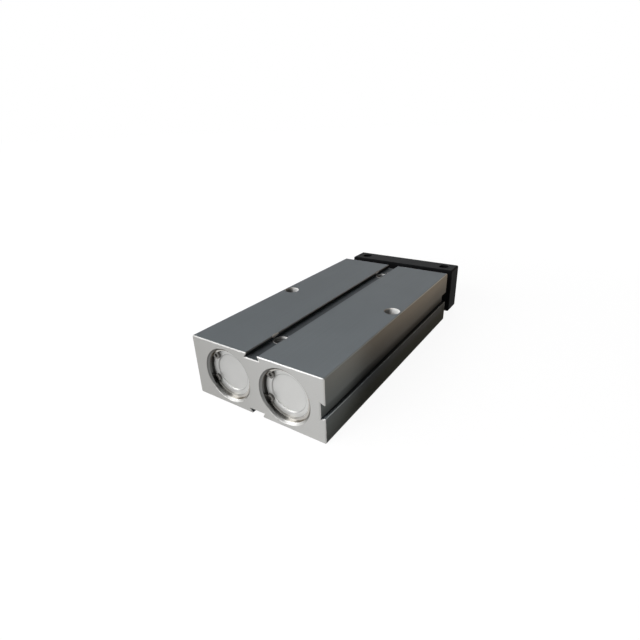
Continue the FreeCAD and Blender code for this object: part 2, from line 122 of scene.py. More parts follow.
class Socket:
    """One output socket of a material; arithmetic on it adds Math nodes."""

    def __init__(self, finish, output):
        self.finish = finish
        self.output = output

    def math(self, operation, *others):
        """A Math node whose inputs are this socket and the others, in order."""
        inputs = {i: v for i, v in enumerate((self, *others))}
        return self.finish.node("ShaderNodeMath", {"operation": operation}, inputs)

    def __add__(self, other):
        return self.math("ADD", other)

    __radd__ = __add__

    def __mul__(self, other):
        return self.math("MULTIPLY", other)

    __rmul__ = __mul__

    def __sub__(self, other):
        return self.math("SUBTRACT", other)

    def __rsub__(self, other):
        return self.finish.node("ShaderNodeMath", {"operation": "SUBTRACT"}, {0: other, 1: self})

    def __abs__(self):
        return self.math("ABSOLUTE")

    def sine(self):
        return self.math("SINE")

    def root(self):
        return self.math("SQRT")

    def sign(self):
        return self.math("SIGN")

    def most(self, other):
        return self.math("MAXIMUM", other)

    def least(self, other):
        return self.math("MINIMUM", other)

    def ramp(self, start, end, low=0.0, high=1.0):
        """Smooth step of this value: low before start, high after end."""
        settings = {"interpolation_type": "SMOOTHSTEP"}
        inputs = {"Value": self, "From Min": start, "From Max": end, "To Min": low, "To Max": high}
        return self.finish.node("ShaderNodeMapRange", settings, inputs)


class Finish:
    """One material: its Principled shader, its Object coordinates, and any node."""

    def __init__(self, name):
        self.material = bpy.data.materials.new(name)
        self.material.use_nodes = True
        self.tree = self.material.node_tree
        self.shader = self.tree.nodes["Principled BSDF"]
        self.place = self.node("ShaderNodeTexCoord", {}, {}, "Object")
        self.x = self.node("ShaderNodeSeparateXYZ", {}, {0: self.place}, "X")
        self.y = self.output_beside(self.x, "Y")
        self.z = self.output_beside(self.x, "Z")

    def output_beside(self, socket, name):
        """Another output of the node that a socket comes from."""
        return Socket(self, socket.output.node.outputs[name])

    def node(self, kind, settings, inputs, output=0):
        """Adds a node, sets its settings, fills or links its inputs, and gives one output."""
        made = self.tree.nodes.new(kind)
        for key, value in settings.items():
            setattr(made, key, value)
        for key, value in inputs.items():
            self.feed(made.inputs[key], value)
        return Socket(self, made.outputs[output])

    def feed(self, socket, value):
        """Links a Socket, or writes a constant, into an input."""
        if isinstance(value, Socket):
            self.tree.links.new(value.output, socket)
        else:
            socket.default_value = value

    def set(self, **values):
        """Fills inputs of the Principled shader; Base_Color stands for Base Color."""
        for key, value in values.items():
            name = key.replace("_", " ")
            if name == "Base Color" and not isinstance(value, Socket):
                value = (*value, 1)
            self.feed(self.shader.inputs[name], value)

    def noise(self, size, detail=2.0, stretch=(1, 1, 1)):
        """Noise from 0 to 1 whose grains are about one size across, in metres, times a stretch."""
        scale = tuple(1 / (size * s) for s in stretch)
        where = self.node("ShaderNodeVectorMath", {"operation": "MULTIPLY"}, {0: self.place, 1: scale})
        inputs = {"Vector": where, "Scale": 1.0, "Detail": detail, "Roughness": 0.5}
        return self.node("ShaderNodeTexNoise", {}, inputs, "Fac")

    def mix(self, way, factor, first, second):
        """Two colours mixed: MIX goes from the first to the second, and MULTIPLY tints the first."""
        settings = {"data_type": "RGBA", "blend_type": way}
        colours = [c if isinstance(c, Socket) else (*c, 1) for c in (first, second)]
        return self.node("ShaderNodeMix", settings, {0: factor, 6: colours[0], 7: colours[1]}, 2)

    def shade(self, colour, amount):
        """A colour times a value."""
        grey = self.node("ShaderNodeCombineColor", {}, {0: amount, 1: amount, 2: amount})
        return self.mix("MULTIPLY", 1.0, colour, grey)

    def bump(self, height, depth, strength):
        """Normal from a height of 0 to 1 that stands for a real depth, in metres."""
        inputs = {"Strength": strength, "Distance": depth, "Height": height}
        return self.node("ShaderNodeBump", {}, inputs)


print("shader helpers ready")

# %% [markdown]
# ## Masks and marks
# A mask is a value that is 1 inside a place and 0 outside it. Most places on this part are round: a
# bore, a port or a hole is known by the distance from its axis. The part is nearly its own mirror
# image, so one formula finds the nearer of two axes.

# %% Mask helpers


def inside(value, limit, edge):
    """1 where a value is under a limit, 0 where it is more than an edge above it."""
    return value.ramp(limit + edge, limit)


def length(a, b):
    """Length of the long side of a right triangle with sides a and b."""
    return (a * a + b * b).root()


def from_nearer(value, distance):
    """Signed offset of a value from the nearer of two places, at plus and minus a distance."""
    return value - value.sign() * distance


def ring_distance(finish, x, z):
    """Distance from the nearer of two axes along Y, at plus and minus x and at height z."""
    return length(abs(finish.x) - x, finish.z - z)


def low_side(finish, turn, start, end):
    """Rises from 0 to 1 below a bore's axis, along a line turned to the left of straight down."""
    across = from_nearer(finish.x, bore_x)
    below = axis_height - finish.z
    return (below * math.cos(turn) - across * math.sin(turn)).ramp(start, end)


def far_side(across, along, direction, radius):
    """Rises from 0 to 1 across a hole of a radius, towards the side that a direction points to."""
    return (direction[0] * across + direction[1] * along).ramp(0.1 * radius, 0.7 * radius)


def tool_marks(value, pitch, wobble):
    """Waves of 0 to 1 along a value, one for each pitch, as a cutting tool leaves them."""
    return (value * (2 * math.pi / pitch) + wobble).sine() * 0.5 + 0.5


print("mask helpers ready")

# %% [markdown]
# ## The anodised body with its machined ends
# The block is sawn from an anodised extrusion, then its ends, bores and holes are machined. So one
# solid shows two finishes: a matte grey skin on the long faces and in the slots, and bare bright
# metal wherever a cutter went. The finish tells them apart by place: near an end plane, near a bore's
# axis, or near a hole's axis the metal is bare.

# %% Places on the body
# The turn is in radians. The two directions, in x and y, point from a hole's axis to the wall that faces
# the light, where a highlight is painted.
cut_edge = 0.04 * MM
soft_edge = 0.1 * MM
rim_width = 0.25 * MM
bore_glint_turn = 0.3
port_far = (0.6, 0.8)
hole_far = (0.5, 0.87)


class BodyPlaces:
    """Masks of the places on the body that a cutter made."""

    def __init__(self, f):
        self.end = 1 - inside(abs(f.y), body_half_length - end_chamfer - cut_edge, cut_edge)
        # A highlight is painted along the top edges of the end faces.
        self.top_edge_highlight = self.end * f.z.ramp(body_height - end_chamfer, body_height - 0.5 * end_chamfer)
        self.find_bores(f)
        self.find_ports(f)
        self.find_holes(f)
        self.bare = self.end.most(self.bore).most(self.drilled)

    def find_bores(self, f):
        """The bores, their chamfers, the rims where a glint is painted low down, and the foot of each
        bore, which is left out of the bores' painted shade.
        """
        gap = ring_distance(f, bore_x, axis_height)
        self.bore = inside(gap, bore_mouth_radius + cut_edge, cut_edge)
        self.chamfer = self.bore * (1 - inside(gap, bore_radius + cut_edge, cut_edge))
        glint = low_side(f, bore_glint_turn, 0.5 * bore_mouth_radius, bore_mouth_radius)
        self.rim = self.bore * (1 - inside(gap, bore_mouth_radius - rim_width, soft_edge)) * glint
        self.bore_foot = f.z.ramp(axis_height - 4 * MM, axis_height - 11 * MM)

    def find_ports(self, f):
        """The air ports, the far side of their mouths, which gets a painted highlight, and the threads
        below, which get painted shade.
        """
        port_middle = sum(port_y) / 2
        along = from_nearer(f.y - port_middle, port_y[1] - port_middle)
        port = inside(length(f.x, along), port_radius + port_rim, cut_edge)
        self.port = port * f.z.ramp(slot_depth, 2 * slot_depth)
        mouth = self.port * inside(abs(f.z - slot_floor + 0.4 * MM), 0.45 * MM, cut_edge)
        self.mouth = mouth * far_side(f.x, along, port_far, port_radius)
        self.threads = self.port * inside(f.z, slot_floor - 0.9 * MM, cut_edge)

    def find_holes(self, f):
        """The mounting holes, their counterbores, the far walls that get a painted highlight, and the
        lips, which get one too.
        """
        side = from_nearer(f.x, hole_x)
        gap = length(side, f.y)
        far = far_side(side, f.y, hole_far, counterbore_radius)
        wide = inside(gap, counterbore_radius + hole_rim, cut_edge)
        self.wide = wide * f.z.ramp(counterbore_seat - 2 * cut_edge, counterbore_seat - cut_edge)
        self.lit_wall = self.wide * far * f.z.ramp(counterbore_seat, counterbore_seat + MM)
        hole = self.wide.most(inside(gap, hole_radius + cut_edge, cut_edge))
        self.drilled = self.port.most(hole)
        self.lip = self.drilled * (1 - inside(f.z, body_height - hole_rim - cut_edge, cut_edge)) * far


print("places on the body ready")

# %% [markdown]
# ## The skin, and the light and shade painted on it
# Extrusion streaks run along Y on the skin. Painted shade darkens the slots and the lips of the top
# slot, painted highlights make the top right long edge and the lower lip of the side slot pale, and a
# painted brown shade darkens the lowest strip of the right side. The skin is also painted lighter
# towards the right. Each of these is one mask or ramp that makes the grey darker, paler or browner.

# %% Skin
skin_grey = (0.176, 0.196, 0.210)
# The next tint browns the painted shade on the lowest strip of the right side.
side_shade_tint = (0.76, 0.67, 0.48)
slot_lip_half = 0.22 * MM
long_edge_width = 0.35 * MM


def painted_slot_shade(f):
    """Painted shade: share of its tone that the skin loses deeper in the slots, most low in the side slot
    and towards the left in the others.
    """
    depth = (body_half_width - abs(f.x)).least(f.z).least(body_height - f.z)
    sunk = depth.ramp(0.26 * MM, 0.8 * MM)
    at_side = f.x.ramp(body_half_width - 6 * MM, body_half_width - 4 * MM)
    side_slot_shade = f.z.ramp(axis_height + 1.3 * MM, axis_height - 2.5 * MM, 0.0, 0.3)
    top_slot_shade = f.x.ramp(slot_half_width, -0.5 * MM, 0.0, 0.15)
    return sunk * (at_side * side_slot_shade + (1 - at_side) * top_slot_shade)


def painted_edge_highlights(f):
    """Painted highlights: how much paler the skin is on the lower lip of the side slot and on the top
    right long edge, more towards the front end.
    """
    slot_lip = inside(abs(f.z - axis_height + slot_half_width), slot_lip_half, soft_edge)
    slot_lip = slot_lip * f.x.ramp(body_half_width - 0.3 * MM, body_half_width - 0.2 * MM)
    long_edge = inside(length(body_half_width - f.x, body_height - f.z), long_edge_width, soft_edge)
    long_edge = long_edge * f.y.ramp(-body_half_length, body_half_length, 0.2, 0.9)
    return 1.5 * slot_lip + long_edge


def painted_side_shade(f):
    """Painted brown shade: 1 on the lowest strip of the right side, and less towards the rear end."""
    at_side = f.x.ramp(body_half_width - 0.5 * MM, body_half_width - 0.2 * MM)
    low = f.z.ramp(axis_height - slot_half_width, axis_height - 10 * MM)
    return at_side * low * f.y.ramp(-body_half_length, -0.4 * body_half_length, 0.2, 1.0)


def skin_colour(f, streaks, cloud, grain):
    """Grey of the anodised skin with its streaks, painted shade in the slots and low on the right side,
    painted highlights on two edges, and painted light towards the right.
    """
    # Painted light: the skin is painted lighter towards the right.
    painted_light_sweep = f.x.ramp(-body_half_width, body_half_width, 0.97, 1.09)
    # Painted shade in the top slot and on its lips.
    top_lip_shade = inside(abs(f.x), slot_half_width + 0.2 * MM, 0.5 * MM) * f.z.ramp(axis_height, body_height)
    # Painted shade darkens the skin in the slots.
    tone = (0.86 + 0.12 * streaks + 0.1 * cloud + 0.08 * grain) * painted_light_sweep * (1 - painted_slot_shade(f))
    # Painted highlights on two edges, and painted shade in the top slot.
    tone = tone * (1 + painted_edge_highlights(f)) * (1 - 0.55 * top_lip_shade)
    # A painted brown shade darkens the lowest strip of the right side.
    return f.mix("MULTIPLY", painted_side_shade(f), f.shade(skin_grey, tone), side_shade_tint)


print("skin ready")

# %% [markdown]
# ## Bare metal, and the two finishes together
# Milling arcs, bore rings and hole rings each follow the cutter that made them. Highlights are painted
# low in the bore mouths, along the top edges of the end faces, and on the far walls and lips of the
# holes and ports, while painted shade darkens the bores above their foot, the threads and the other
# walls of the counterbores. The metal is also painted lighter towards the right. At the end the mask
# of all bare places chooses between skin and metal.

# %% Body finish
bare_grey = (0.508, 0.508, 0.498)
milling_axis = (95 * MM, -60 * MM)


def cutter_marks(f, at):
    """Waves of 0 to 1: arcs on the ends, rings along the bores, and rings down the holes."""
    wobble = f.noise(6 * MM)
    arcs = tool_marks(ring_distance(f, *milling_axis), 0.9 * MM, wobble * 5)
    rings = tool_marks(f.y, 0.35 * MM, wobble * 4)
    turning = tool_marks(f.z, 0.5 * MM, wobble * 4)
    return arcs * at.end + (1 - at.end) * (at.bore * rings + (1 - at.bore) * at.drilled * turning)


def metal_colour(f, at, marks, cloud, grain):
    """Grey of the bare metal: painted shade in the bores and holes, and painted highlights on rims, far
    walls, lips and top edges.
    """
    # Painted shade on the port threads and on the counterbore walls that get no painted highlight.
    painted_hole_shade = 0.45 * at.threads + 0.5 * at.wide * (1 - at.lit_wall)
    # Painted shade in the bores, left off at their foot, and a painted highlight on their low rims.
    painted_light_and_shade = (1 - at.bore * (0.58 - 0.58 * at.bore_foot)) * (1 - painted_hole_shade)
    painted_light_and_shade = painted_light_and_shade + at.rim * f.x.ramp(-bore_x, bore_x, 0.75, 0.4)
    # Painted highlights on the far lips, the far side of the port mouths and the far walls of the holes.
    painted_light_and_shade = painted_light_and_shade + 0.3 * at.lip + 0.7 * at.mouth + 0.6 * at.lit_wall
    # Painted highlight on the top edges of the end faces, stronger towards the right.
    painted_light_and_shade = painted_light_and_shade + at.top_edge_highlight * f.x.ramp(-0.5 * bore_x, 0.2 * bore_x, -0.1, 0.5)
    # Painted light: the bare metal is painted lighter towards the right.
    painted_light_sweep = f.x.ramp(-body_half_width, body_half_width, 0.80, 1.0)
    return f.shade(bare_grey, (0.92 + 0.03 * marks + 0.08 * cloud + 0.04 * grain) * painted_light_sweep * painted_light_and_shade)


def anodised_body():
    f = Finish("anodised_body")
    at = BodyPlaces(f)
    streaks = f.noise(0.5 * MM, 3, stretch=(1, 160, 1))
    cloud = f.noise(18 * MM)
    grain = f.noise(0.16 * MM)
    marks = cutter_marks(f, at)
    skin = skin_colour(f, streaks, cloud, grain)
    metal = metal_colour(f, at, marks, cloud, grain)
    f.set(Base_Color=f.mix("MIX", at.bare, skin, metal))
    shine = 0.6 * at.bare + 0.35 * at.bore * (1 - at.end) + 0.35 * at.lip - 0.25 * at.wide * (1 - at.lip)
    # Less metal where highlights are painted, so that their painted grey shows.
    f.set(Metallic=shine * (1 - 0.8 * at.rim) * (1 - 0.85 * at.mouth) * (1 - 0.7 * at.lit_wall))
    skin_rough = 0.50 + 0.10 * streaks + 0.08 * grain
    metal_rough = 0.34 + 0.06 * marks + 0.06 * cloud - 0.18 * at.bore - 0.16 * at.lip + 0.18 * at.chamfer
    f.set(Roughness=skin_rough * (1 - at.bare) + metal_rough * at.bare)
    height = grain * (1 - at.bare) * 0.5 + streaks * (1 - at.bare) * 0.3 + marks * at.bare * 0.3
    f.set(Normal=f.bump(height, 0.005 * MM, 0.6))
    f.set(Specular_IOR_Level=0.02, Specular_Tint=(0.6, 0.52, 0.42, 1))
    return f.material


print("body finish ready")

# %% [markdown]
# ## Turned aluminium, chrome and spring steel
# Covers and pistons come off a lathe, so their faces carry fine rings about each bore's axis and
# their rims carry rings along Y. A thin line of painted shade draws the recess in a cover, and low down,
# where its wall turns to the light, a painted highlight takes its place. The turned parts are also
# painted lighter towards the right. The rods are ground and chromed: nearly a mirror, with the faintest
# lines around them. Retaining rings are stamped from sheet and tumbled bright, and painted shade
# darkens their two lugs.

# %% Turned and drawn metals
recess_glint_turn = 0.42
recess_line_radius = recess_radius + 0.22 * MM
recess_wall_radius = recess_radius + 0.1 * MM


def turned_aluminium():
    f = Finish("turned_aluminium")
    gap = ring_distance(f, bore_x, axis_height)
    wobble = f.noise(5 * MM)
    rings = tool_marks(gap, 0.4 * MM, wobble * 1.5)
    rims = tool_marks(f.y, 0.3 * MM, wobble * 2)
    cloud = f.noise(9 * MM)
    grain = f.noise(0.12 * MM)
    outside = inside(f.y, cover_face + 0.6 * MM, MM)
    # Painted shade: a thin dark line round the recess of a cover; low down a painted highlight lies on the
    # recess wall instead.
    line = inside(abs(gap - recess_line_radius), 0.14 * MM, 0.08 * MM) * outside
    wall = inside(abs(gap - recess_wall_radius), 0.2 * MM, soft_edge) * outside
    low = low_side(f, recess_glint_turn, 0.62 * recess_radius, 0.97 * recess_radius)
    tone = (0.88 + 0.06 * rings + 0.1 * cloud + 0.05 * grain) * (1 - 0.3 * line * (1 - low))
    # The turned parts are also painted lighter towards the right.
    tone = (tone + 0.5 * wall * low) * f.x.ramp(-bore_x, bore_x, 1.0, 1.12)
    f.set(Base_Color=f.shade((0.54, 0.54, 0.53), tone))
    f.set(Metallic=0.6, Roughness=0.36 + 0.06 * rings + 0.08 * grain - 0.2 * wall * low)
    f.set(Normal=f.bump(rings * 0.6 + rims * 0.2 + grain * 0.4, 0.004 * MM, 0.5))
    return f.material


def ground_chrome():
    f = Finish("ground_chrome")
    lines = f.noise(0.12 * MM, stretch=(6, 1, 6))
    cloud = f.noise(12 * MM)
    f.set(Base_Color=f.shade((0.57, 0.575, 0.58), 0.92 + 0.08 * cloud))
    f.set(Metallic=1.0, Roughness=0.12 + 0.10 * lines)
    f.set(Normal=f.bump(lines, 0.0015 * MM, 0.4))
    return f.material


def stamped_spring_steel():
    f = Finish("stamped_spring_steel")
    grain = f.noise(0.2 * MM, 3)
    cloud = f.noise(3 * MM, 3)
    across = from_nearer(f.x, bore_x)
    # Painted shade darkens the two lugs of each ring.
    painted_lug_shade = 0.0
    for angle in lug_angles:
        beside = across - lug_place * math.cos(angle)
        above = f.z - axis_height - lug_place * math.sin(angle)
        painted_lug_shade = inside(length(beside, above), lug_radius, 0.3 * MM) + painted_lug_shade
    tone = (0.8 + 0.25 * cloud + 0.1 * grain) * (1 - 0.65 * painted_lug_shade)
    f.set(Base_Color=f.shade((0.46, 0.445, 0.42), tone))
    f.set(Metallic=1.0, Roughness=0.13 + 0.10 * grain)
    f.set(Normal=f.bump(grain, 0.006 * MM, 0.5))
    return f.material


print("turned and drawn metals ready")

# %% [markdown]
# ## Black plate, fasteners, seals and bushes
# The end plate is bead blasted and anodised black: a soft satin that never turns to a mirror. Its
# front, where the load is bolted on, gets painted light: it is painted several times paler than the
# rest. Screws are black oxide, nuts and the adjusting bolt are zinc plated, seals are rubber, the stop
# pad is amber urethane, and the bushes are oiled bronze. Most of these hide inside, and they still get
# their own finish, because the part may be shown opened.

# %% Plate, fastener and seal finishes


def black_plate():
    f = Finish("black_plate")
    grain = f.noise(0.14 * MM)
    cloud = f.noise(14 * MM, 3)
    front = f.y.ramp(plate_front - 0.6 * MM, plate_front - 0.3 * MM)
    # Painted light on the front face, which is painted several times paler.
    painted_front_light = front * (2.0 + 2.0 * cloud + grain)
    tone = (0.75 + 0.4 * cloud + 0.25 * grain) * (1 + painted_front_light)
    f.set(Base_Color=f.shade((0.0066, 0.0068, 0.0074), tone))
    f.set(Metallic=0.0, Roughness=0.54 + 0.12 * grain + 0.06 * cloud)
    f.set(Normal=f.bump(grain, 0.012 * MM, 0.6))
    f.set(Specular_IOR_Level=0.03)
    return f.material


def plated_steel(name, colour, rough):
    f = Finish(name)
    grain = f.noise(0.15 * MM, 3)
    cloud = f.noise(2.5 * MM, 3)
    f.set(Base_Color=f.shade(colour, 0.8 + 0.28 * cloud + 0.1 * grain))
    f.set(Metallic=0.9, Roughness=rough + 0.14 * cloud + 0.08 * grain)
    f.set(Normal=f.bump(grain, 0.006 * MM, 0.5))
    return f.material


def moulded(name, colour, rough, shine=0.5):
    f = Finish(name)
    grain = f.noise(0.18 * MM, 3)
    cloud = f.noise(4 * MM)
    f.set(Base_Color=f.shade(colour, 0.85 + 0.2 * cloud + 0.1 * grain))
    f.set(Metallic=0.0, Roughness=rough + 0.12 * grain)
    f.set(Normal=f.bump(grain, 0.01 * MM, 0.5))
    f.set(Specular_IOR_Level=shine)
    return f.material


finishes = {
    "anodised_body": anodised_body(),
    "machined_aluminium": turned_aluminium(),
    "black_plate": black_plate(),
    "rod_chrome": ground_chrome(),
    "spring_steel": stamped_spring_steel(),
    "fastener_steel": plated_steel("zinc_plated_steel", (0.52, 0.52, 0.50), 0.26),
    "fastener_black": plated_steel("black_oxide_steel", (0.035, 0.035, 0.037), 0.36),
    "seal_rubber": moulded("seal_rubber", (0.022, 0.022, 0.023), 0.55, 0.4),
    "urethane": moulded("amber_urethane", (0.42, 0.24, 0.07), 0.32),
    "bush_bronze": plated_steel("oiled_bronze", (0.48, 0.30, 0.14), 0.30),
    "bonded_magnet": moulded("bonded_magnet", (0.05, 0.047, 0.045), 0.6, 0.3),
    "guide_plastic": moulded("guide_plastic", (0.60, 0.57, 0.49), 0.45),
}
slot_of = {part["node"]: part["material_slot"] for part in frame["record"]["subparts"]}
for name, node in nodes.items():
    node.data.materials.clear()
    node.data.materials.append(finishes[slot_of[name]])
print("finishes:", len(finishes), "on nodes:", len(slot_of))

# %% [markdown]
# ## A helper for closed surfaces
# A turned or threaded piece is a skin over two parameters: the row says how far along its outline a
# point is, and the column says how far round. The rows make loops, and one point at each end closes
# the skin. Points and faces are whole arrays, and if the volume comes out negative, all faces turn.

# %% Surface helpers


def closed_surface(name, grid, start, end):
    """Piece from rows of loops: quads join row i to row i + 1, and triangles join both ends to a point."""
    rows, columns, _ = grid.shape
    points = np.concatenate([grid.reshape(-1, 3), [start, end]])
    here = np.arange(rows * columns).reshape(rows, columns)
    beside = np.roll(here, -1, axis=1)
    quads = np.stack([here[:-1], here[1:], beside[1:], beside[:-1]], axis=-1).reshape(-1, 4)
    first = np.stack([np.full(columns, rows * columns), here[0], beside[0]], axis=-1)
    last = np.stack([np.full(columns, rows * columns + 1), beside[-1], here[-1]], axis=-1)
    triangles = np.concatenate([quads[:, [0, 1, 2]], quads[:, [0, 2, 3]], first, last])
    a, b, c = (points[triangles[:, k]] - start for k in range(3))
    if np.einsum("ij,ij->", a, np.cross(b, c)) < 0:
        quads, first, last = quads[:, ::-1], first[:, ::-1], last[:, ::-1]
    mesh = bpy.data.meshes.new(name)
    mesh.from_pydata(points.tolist(), [], quads.tolist() + first.tolist() + last.tolist())
    mesh.shade_smooth()
    mesh.set_sharp_from_angle(angle=math.radians(35))
    piece = bpy.data.objects.new(name, mesh)
    bpy.context.scene.collection.objects.link(piece)
    return piece


def rounded_outline(corners, steps=5):
    """Outline with each corner P replaced by the curve (1-t)^2 A + 2t(1-t) P + t^2 B.

    A and B lie on the two sides, one rounding length away from P. A corner is (radius, y, rounding).
    """
    places = np.array([corner[:2] for corner in corners])
    t = np.linspace(0, 1, steps)[:, None]
    outline = [places[:1]]
    for before, place, after, corner in zip(places, places[1:], places[2:], corners[1:]):
        a = place + corner[2] * (before - place) / np.linalg.norm(before - place)
        b = place + corner[2] * (after - place) / np.linalg.norm(after - place)
        outline.append((1 - t) ** 2 * a + 2 * t * (1 - t) * place + t ** 2 * b)
    outline.append(places[-1:])
    return np.concatenate(outline)


def finish_piece(piece, body, slot):
    """Gives a piece the finish that a material slot names, and the body that it moves with."""
    piece.data.materials.append(finishes[slot])
    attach(piece, body)
    print(piece.name, "faces:", len(piece.data.polygons))


print("surface helpers ready")

# %% [markdown]
# ## Turned rear covers
# Each rear cover is a blind plug, turned from bar, with a shallow round recess in its outer face. A
# lathe tool has a small nose, so no corner on it is quite sharp. The rounded corners matter here:
# they catch the light and draw the thin bright circle that the eye reads as the recess. The cover is
# its outline, carried round the bore's axis: x = a + r cos(u), z = h + r sin(u).

# %% Rear covers


def lathe(outline, x, columns):
    """Outline of (radius, y) carried round an axis along Y at x and at the bores' height."""
    u = np.linspace(0, 2 * math.pi, columns, endpoint=False)
    radius = outline[:, :1]
    along = np.broadcast_to(outline[:, 1:], (len(outline), columns))
    return np.stack([x + radius * np.cos(u), along, axis_height + radius * np.sin(u)], axis=-1)


def cover_outline(front, back):
    """Outline of a rear cover, from the middle of its recess round to the bumper's seat, in metres."""
    centre = 0.4 * MM
    rim = 12.46 * MM
    chamfer = 0.5 * MM
    recess_floor = front + 0.5 * MM
    groove_start = (front + back) / 2 - 1.1 * MM
    groove_end = (front + back) / 2 + 1.1 * MM
    groove_floor = 10.86 * MM
    seat_radius = 6.92 * MM
    seat = back - 1.2 * MM
    tool = 0.05 * MM
    recess_round = 0.45 * MM
    front_round = 0.15 * MM
    back_round = 0.1 * MM
    return rounded_outline([
        (centre, recess_floor, 0), (recess_radius, recess_floor, tool),
        (recess_radius, front, recess_round),
        (rim - chamfer, front, front_round), (rim, front + chamfer, front_round),
        (rim, groove_start, tool), (groove_floor, groove_start, tool),
        (groove_floor, groove_end, tool), (rim, groove_end, tool),
        (rim, back - chamfer, back_round), (rim - chamfer, back, back_round),
        (seat_radius, back, tool), (seat_radius, seat, tool), (centre, seat, 0)])


for side, x in (("left", -bore_x), ("right", bore_x)):
    node = "rear_cover_" + side
    outline = cover_outline(*span(node, 1))
    ends = [(x, outline[k, 1], axis_height) for k in (0, -1)]
    cover = closed_surface("turned_cover_" + side, lathe(outline, x, 128), *ends)
    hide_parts(node)
    finish_piece(cover, "cylinder", "machined_aluminium")

# %% [markdown]
# ## Threads in the air ports
# An air port is tapped so that a fitting screws in. Its thread is one ridge that climbs the wall as a
# helix: a small four-sided outline carried along x = r cos(u), y = r sin(u), z = z0 + pitch u / 2 pi.
# At both ends the ridge sinks into the wall, as a tap leaves it.

# %% Port threads


def port_thread(name, y):
    """Ridge of a tapped port: outline points move inwards by a crest height that fades at both ends."""
    pitch = 1.0 * MM
    bottom = body_height - 9.3 * MM
    top = slot_floor - 1.3 * MM
    crest = 0.42 * MM
    sunk = 0.05 * MM
    half_foot = 0.31 * MM
    half_crest = 0.06 * MM
    turns = (top - bottom) / pitch
    u = np.linspace(0, 2 * math.pi * turns, int(64 * turns))[:, None]
    fade = np.clip(np.minimum(u, u[::-1]) / (0.5 * math.pi), 0.02, 1)
    radius = port_radius + sunk - fade * np.array([0, crest + sunk, crest + sunk, 0])
    width = fade * np.array([-half_foot, -half_crest, half_crest, half_foot])
    height = bottom + pitch * u / (2 * math.pi) + width
    grid = np.stack([radius * np.cos(u), y + radius * np.sin(u), height], axis=-1)
    ends = [grid[k].mean(axis=0) for k in (0, -1)]
    return closed_surface(name, grid, *ends)


for side, y in zip(("rear", "front"), port_y):
    finish_piece(port_thread("port_thread_" + side, y), "cylinder", "anodised_body")

# %% [markdown]
# ## The stroke adjusting bolt
# The bolt screws through the end plate and stops the plate on the body. It is one skin again, and its
# radius depends on both parameters: r(u, y). On the head two flats cut it to r = 6 mm / |sin u|, on
# the shank the thread takes off a triangle wave of u / 2 pi + y / pitch, and in the end face the
# socket's radius is that of a hexagon.

# %% Adjusting bolt


def hexagon_radius(flats, u):
    """Radius of a hexagon, half the flats over the cosine of the angle from the nearest flat."""
    sixth = math.pi / 3
    return flats / 2 / np.cos((u + sixth / 2) % sixth - sixth / 2)


def thread_radius(along, start, end, u):
    """Radius of the bolt's thread at places along it: it runs out at the start and tapers to the end."""
    shank = 4.0 * MM
    pitch = 1.25 * MM
    depth = 0.7 * MM
    taper = 0.8 * MM
    wave = abs((u / (2 * math.pi) + along / pitch) % 1 - 0.5) * 2
    runout = np.clip((along - start) / (1.5 * MM), 0, 1)
    lead = np.clip(along - end + taper, 0, MM)
    return np.minimum(shank - runout * depth * wave, shank - lead)


def bolt_rows(low, high, u):
    """Rows of (radius, y) over the angles u, from the pad's hole round to the socket's floor."""
    centre = 0.5 * MM
    stem = 3.02 * MM
    stem_end = low + 2.0 * MM
    head_end = low + 3.5 * MM
    head_radius = 7.0 * MM
    edge = 0.2 * MM
    socket_floor = high - 4.0 * MM
    flat = 6.0 * MM / np.maximum(abs(np.sin(u)), 0.1)
    head = np.minimum(head_radius, flat)
    head_edge = np.minimum(head_radius - edge, flat)
    socket = hexagon_radius(4.0 * MM, u)
    along = np.linspace(head_end, high, 120)[:, None]
    rows = [(centre, stem_end), (stem, stem_end), (stem, low), (head_edge, low),
            (head, low + edge), (head, head_end - edge), (head_edge, head_end)]
    rows += list(zip(thread_radius(along, head_end, high, u), along[:, 0]))
    rows += [(socket + edge, high), (socket, high - edge),
             (socket, socket_floor), (centre, socket_floor)]
    radius = np.stack([np.broadcast_to(r, u.shape) for r, _ in rows])
    place = np.array([y for _, y in rows])[:, None]
    return radius, np.broadcast_to(place, radius.shape)


bolt_turn = np.linspace(0, 2 * math.pi, 96, endpoint=False)
radius, along = bolt_rows(*span("adjusting_bolt", 1), bolt_turn)
bolt_grid = np.stack([radius * np.cos(bolt_turn), along,
                      axis_height + radius * np.sin(bolt_turn)], axis=-1)
bolt_ends = [(0, along[k, 0], axis_height) for k in (0, -1)]
bolt = closed_surface("threaded_adjusting_bolt", bolt_grid, *bolt_ends)
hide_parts("adjusting_bolt")
finish_piece(bolt, "stroke_adjuster", "fastener_steel")

# %% [markdown]
# ## Floor and background
# The photograph has a plain white ground. The floor and the world look white to the camera, and to
# mirrors, through the Light Path node, while the lamps stay at a plain level. So the ground is white
# without washing out the metal, and the floor still keeps the object's shadow.

# %% Ground


def background_share(tree):
    """1 for camera, mirror and glass rays, and 0 for the rays that carry light."""
    path = tree.nodes.new("ShaderNodeLightPath")
    share = path.outputs["Is Camera Ray"]
    for name in ("Is Glossy Ray", "Is Transmission Ray"):
        most = tree.nodes.new("ShaderNodeMath")
        most.operation = "MAXIMUM"
        tree.links.new(share, most.inputs[0])
        tree.links.new(path.outputs[name], most.inputs[1])
        share = most.outputs[0]
    return share


